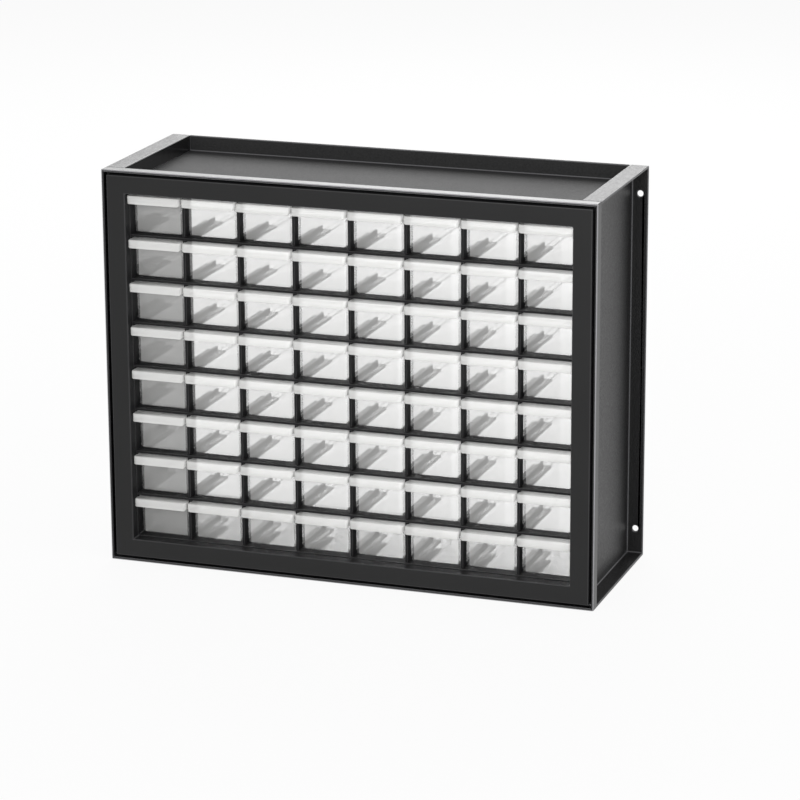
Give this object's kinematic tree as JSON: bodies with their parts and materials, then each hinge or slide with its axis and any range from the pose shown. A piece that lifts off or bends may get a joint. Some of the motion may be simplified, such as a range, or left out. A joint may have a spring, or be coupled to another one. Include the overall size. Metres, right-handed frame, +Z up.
{
  "type": "parts bin cabinet",
  "caption": "Box-shaped cabinet with a framed front, a grid of small clear sliding drawers with finger lips, a shallow tray on top and an open back.",
  "frame": {"origin": "middle of the footprint, on the surface that the cabinet stands on", "axes": "+X to the right seen from the front, -Y out of the front, +Z up"},
  "size_m": [0.4952, 0.1778, 0.3937],
  "materials": {
    "black_satin": "satin, moulded",
    "black_grained": "fine grain",
    "black_smooth": "smooth, moulded",
    "clear_plastic": "clear with a slight haze"
  },
  "bodies": {
    "cabinet": {"front_rim": "black_satin", "front_bezel": "black_satin", "top_tray": "black_grained", "bottom_panel": "black_grained", "left_side_panel": "black_grained", "right_side_panel": "black_grained", "grid_frame": "black_smooth", "shelf_bars": "black_smooth", "divider_posts": "black_smooth", "drawer_rails": "black_smooth", "left_side_rails": "black_smooth", "right_side_rails": "black_smooth"},
    "drawer_r1_c1": {"drawer_r1_c1": "clear_plastic"},
    "drawer_r1_c2": {"drawer_r1_c2": "clear_plastic"},
    "drawer_r1_c3": {"drawer_r1_c3": "clear_plastic"},
    "drawer_r1_c4": {"drawer_r1_c4": "clear_plastic"},
    "drawer_r1_c5": {"drawer_r1_c5": "clear_plastic"},
    "drawer_r1_c6": {"drawer_r1_c6": "clear_plastic"},
    "drawer_r1_c7": {"drawer_r1_c7": "clear_plastic"},
    "drawer_r1_c8": {"drawer_r1_c8": "clear_plastic"},
    "drawer_r2_c1": {"drawer_r2_c1": "clear_plastic"},
    "drawer_r2_c2": {"drawer_r2_c2": "clear_plastic"},
    "drawer_r2_c3": {"drawer_r2_c3": "clear_plastic"},
    "drawer_r2_c4": {"drawer_r2_c4": "clear_plastic"},
    "drawer_r2_c5": {"drawer_r2_c5": "clear_plastic"},
    "drawer_r2_c6": {"drawer_r2_c6": "clear_plastic"},
    "drawer_r2_c7": {"drawer_r2_c7": "clear_plastic"},
    "drawer_r2_c8": {"drawer_r2_c8": "clear_plastic"},
    "drawer_r3_c1": {"drawer_r3_c1": "clear_plastic"},
    "drawer_r3_c2": {"drawer_r3_c2": "clear_plastic"},
    "drawer_r3_c3": {"drawer_r3_c3": "clear_plastic"},
    "drawer_r3_c4": {"drawer_r3_c4": "clear_plastic"},
    "drawer_r3_c5": {"drawer_r3_c5": "clear_plastic"},
    "drawer_r3_c6": {"drawer_r3_c6": "clear_plastic"},
    "drawer_r3_c7": {"drawer_r3_c7": "clear_plastic"},
    "drawer_r3_c8": {"drawer_r3_c8": "clear_plastic"},
    "drawer_r4_c1": {"drawer_r4_c1": "clear_plastic"},
    "drawer_r4_c2": {"drawer_r4_c2": "clear_plastic"},
    "drawer_r4_c3": {"drawer_r4_c3": "clear_plastic"},
    "drawer_r4_c4": {"drawer_r4_c4": "clear_plastic"},
    "drawer_r4_c5": {"drawer_r4_c5": "clear_plastic"},
    "drawer_r4_c6": {"drawer_r4_c6": "clear_plastic"},
    "drawer_r4_c7": {"drawer_r4_c7": "clear_plastic"},
    "drawer_r4_c8": {"drawer_r4_c8": "clear_plastic"},
    "drawers_r5_c1_c2": {"drawers_r5_c1_c2": "clear_plastic"},
    "drawers_r5_c3_c4": {"drawers_r5_c3_c4": "clear_plastic"},
    "drawers_r5_c5_c6": {"drawers_r5_c5_c6": "clear_plastic"},
    "drawers_r5_c7_c8": {"drawers_r5_c7_c8": "clear_plastic"},
    "drawers_r6_c1_c2": {"drawers_r6_c1_c2": "clear_plastic"},
    "drawers_r6_c3_c4": {"drawers_r6_c3_c4": "clear_plastic"},
    "drawers_r6_c5_c6": {"drawers_r6_c5_c6": "clear_plastic"},
    "drawers_r6_c7_c8": {"drawers_r6_c7_c8": "clear_plastic"},
    "drawers_r7_c1_c2": {"drawers_r7_c1_c2": "clear_plastic"},
    "drawers_r7_c3_c4": {"drawers_r7_c3_c4": "clear_plastic"},
    "drawers_r7_c5_c6": {"drawers_r7_c5_c6": "clear_plastic"},
    "drawers_r7_c7_c8": {"drawers_r7_c7_c8": "clear_plastic"},
    "drawers_r8_c1_c2": {"drawers_r8_c1_c2": "clear_plastic"},
    "drawers_r8_c3_c4": {"drawers_r8_c3_c4": "clear_plastic"},
    "drawers_r8_c5_c6": {"drawers_r8_c5_c6": "clear_plastic"},
    "drawers_r8_c7_c8": {"drawers_r8_c7_c8": "clear_plastic"}
  },
  "joints": [
    {"name": "drawer_r1_c1_slide", "type": "slide", "parent": "cabinet", "child": "drawer_r1_c1", "axis": [0, -1, 0], "range_m": [0, 0.11]},
    {"name": "drawer_r1_c2_slide", "type": "slide", "parent": "cabinet", "child": "drawer_r1_c2", "axis": [0, -1, 0], "range_m": [0, 0.11]},
    {"name": "drawer_r1_c3_slide", "type": "slide", "parent": "cabinet", "child": "drawer_r1_c3", "axis": [0, -1, 0], "range_m": [0, 0.11]},
    {"name": "drawer_r1_c4_slide", "type": "slide", "parent": "cabinet", "child": "drawer_r1_c4", "axis": [0, -1, 0], "range_m": [0, 0.11]},
    {"name": "drawer_r1_c5_slide", "type": "slide", "parent": "cabinet", "child": "drawer_r1_c5", "axis": [0, -1, 0], "range_m": [0, 0.11]},
    {"name": "drawer_r1_c6_slide", "type": "slide", "parent": "cabinet", "child": "drawer_r1_c6", "axis": [0, -1, 0], "range_m": [0, 0.11]},
    {"name": "drawer_r1_c7_slide", "type": "slide", "parent": "cabinet", "child": "drawer_r1_c7", "axis": [0, -1, 0], "range_m": [0, 0.11]},
    {"name": "drawer_r1_c8_slide", "type": "slide", "parent": "cabinet", "child": "drawer_r1_c8", "axis": [0, -1, 0], "range_m": [0, 0.11]},
    {"name": "drawer_r2_c1_slide", "type": "slide", "parent": "cabinet", "child": "drawer_r2_c1", "axis": [0, -1, 0], "range_m": [0, 0.11]},
    {"name": "drawer_r2_c2_slide", "type": "slide", "parent": "cabinet", "child": "drawer_r2_c2", "axis": [0, -1, 0], "range_m": [0, 0.11]},
    {"name": "drawer_r2_c3_slide", "type": "slide", "parent": "cabinet", "child": "drawer_r2_c3", "axis": [0, -1, 0], "range_m": [0, 0.11]},
    {"name": "drawer_r2_c4_slide", "type": "slide", "parent": "cabinet", "child": "drawer_r2_c4", "axis": [0, -1, 0], "range_m": [0, 0.11]},
    {"name": "drawer_r2_c5_slide", "type": "slide", "parent": "cabinet", "child": "drawer_r2_c5", "axis": [0, -1, 0], "range_m": [0, 0.11]},
    {"name": "drawer_r2_c6_slide", "type": "slide", "parent": "cabinet", "child": "drawer_r2_c6", "axis": [0, -1, 0], "range_m": [0, 0.11]},
    {"name": "drawer_r2_c7_slide", "type": "slide", "parent": "cabinet", "child": "drawer_r2_c7", "axis": [0, -1, 0], "range_m": [0, 0.11]},
    {"name": "drawer_r2_c8_slide", "type": "slide", "parent": "cabinet", "child": "drawer_r2_c8", "axis": [0, -1, 0], "range_m": [0, 0.11]},
    {"name": "drawer_r3_c1_slide", "type": "slide", "parent": "cabinet", "child": "drawer_r3_c1", "axis": [0, -1, 0], "range_m": [0, 0.11]},
    {"name": "drawer_r3_c2_slide", "type": "slide", "parent": "cabinet", "child": "drawer_r3_c2", "axis": [0, -1, 0], "range_m": [0, 0.11]},
    {"name": "drawer_r3_c3_slide", "type": "slide", "parent": "cabinet", "child": "drawer_r3_c3", "axis": [0, -1, 0], "range_m": [0, 0.11]},
    {"name": "drawer_r3_c4_slide", "type": "slide", "parent": "cabinet", "child": "drawer_r3_c4", "axis": [0, -1, 0], "range_m": [0, 0.11]},
    {"name": "drawer_r3_c5_slide", "type": "slide", "parent": "cabinet", "child": "drawer_r3_c5", "axis": [0, -1, 0], "range_m": [0, 0.11]},
    {"name": "drawer_r3_c6_slide", "type": "slide", "parent": "cabinet", "child": "drawer_r3_c6", "axis": [0, -1, 0], "range_m": [0, 0.11]},
    {"name": "drawer_r3_c7_slide", "type": "slide", "parent": "cabinet", "child": "drawer_r3_c7", "axis": [0, -1, 0], "range_m": [0, 0.11]},
    {"name": "drawer_r3_c8_slide", "type": "slide", "parent": "cabinet", "child": "drawer_r3_c8", "axis": [0, -1, 0], "range_m": [0, 0.11]},
    {"name": "drawer_r4_c1_slide", "type": "slide", "parent": "cabinet", "child": "drawer_r4_c1", "axis": [0, -1, 0], "range_m": [0, 0.11]},
    {"name": "drawer_r4_c2_slide", "type": "slide", "parent": "cabinet", "child": "drawer_r4_c2", "axis": [0, -1, 0], "range_m": [0, 0.11]},
    {"name": "drawer_r4_c3_slide", "type": "slide", "parent": "cabinet", "child": "drawer_r4_c3", "axis": [0, -1, 0], "range_m": [0, 0.11]},
    {"name": "drawer_r4_c4_slide", "type": "slide", "parent": "cabinet", "child": "drawer_r4_c4", "axis": [0, -1, 0], "range_m": [0, 0.11]},
    {"name": "drawer_r4_c5_slide", "type": "slide", "parent": "cabinet", "child": "drawer_r4_c5", "axis": [0, -1, 0], "range_m": [0, 0.11]},
    {"name": "drawer_r4_c6_slide", "type": "slide", "parent": "cabinet", "child": "drawer_r4_c6", "axis": [0, -1, 0], "range_m": [0, 0.11]},
    {"name": "drawer_r4_c7_slide", "type": "slide", "parent": "cabinet", "child": "drawer_r4_c7", "axis": [0, -1, 0], "range_m": [0, 0.11]},
    {"name": "drawer_r4_c8_slide", "type": "slide", "parent": "cabinet", "child": "drawer_r4_c8", "axis": [0, -1, 0], "range_m": [0, 0.11]},
    {"name": "drawers_r5_c1_c2_slide", "type": "slide", "parent": "cabinet", "child": "drawers_r5_c1_c2", "axis": [0, -1, 0], "range_m": [0, 0.11]},
    {"name": "drawers_r5_c3_c4_slide", "type": "slide", "parent": "cabinet", "child": "drawers_r5_c3_c4", "axis": [0, -1, 0], "range_m": [0, 0.11]},
    {"name": "drawers_r5_c5_c6_slide", "type": "slide", "parent": "cabinet", "child": "drawers_r5_c5_c6", "axis": [0, -1, 0], "range_m": [0, 0.11]},
    {"name": "drawers_r5_c7_c8_slide", "type": "slide", "parent": "cabinet", "child": "drawers_r5_c7_c8", "axis": [0, -1, 0], "range_m": [0, 0.11]},
    {"name": "drawers_r6_c1_c2_slide", "type": "slide", "parent": "cabinet", "child": "drawers_r6_c1_c2", "axis": [0, -1, 0], "range_m": [0, 0.11]},
    {"name": "drawers_r6_c3_c4_slide", "type": "slide", "parent": "cabinet", "child": "drawers_r6_c3_c4", "axis": [0, -1, 0], "range_m": [0, 0.11]},
    {"name": "drawers_r6_c5_c6_slide", "type": "slide", "parent": "cabinet", "child": "drawers_r6_c5_c6", "axis": [0, -1, 0], "range_m": [0, 0.11]},
    {"name": "drawers_r6_c7_c8_slide", "type": "slide", "parent": "cabinet", "child": "drawers_r6_c7_c8", "axis": [0, -1, 0], "range_m": [0, 0.11]},
    {"name": "drawers_r7_c1_c2_slide", "type": "slide", "parent": "cabinet", "child": "drawers_r7_c1_c2", "axis": [0, -1, 0], "range_m": [0, 0.11]},
    {"name": "drawers_r7_c3_c4_slide", "type": "slide", "parent": "cabinet", "child": "drawers_r7_c3_c4", "axis": [0, -1, 0], "range_m": [0, 0.11]},
    {"name": "drawers_r7_c5_c6_slide", "type": "slide", "parent": "cabinet", "child": "drawers_r7_c5_c6", "axis": [0, -1, 0], "range_m": [0, 0.11]},
    {"name": "drawers_r7_c7_c8_slide", "type": "slide", "parent": "cabinet", "child": "drawers_r7_c7_c8", "axis": [0, -1, 0], "range_m": [0, 0.11]},
    {"name": "drawers_r8_c1_c2_slide", "type": "slide", "parent": "cabinet", "child": "drawers_r8_c1_c2", "axis": [0, -1, 0], "range_m": [0, 0.11]},
    {"name": "drawers_r8_c3_c4_slide", "type": "slide", "parent": "cabinet", "child": "drawers_r8_c3_c4", "axis": [0, -1, 0], "range_m": [0, 0.11]},
    {"name": "drawers_r8_c5_c6_slide", "type": "slide", "parent": "cabinet", "child": "drawers_r8_c5_c6", "axis": [0, -1, 0], "range_m": [0, 0.11]},
    {"name": "drawers_r8_c7_c8_slide", "type": "slide", "parent": "cabinet", "child": "drawers_r8_c7_c8", "axis": [0, -1, 0], "range_m": [0, 0.11]}
  ]
}
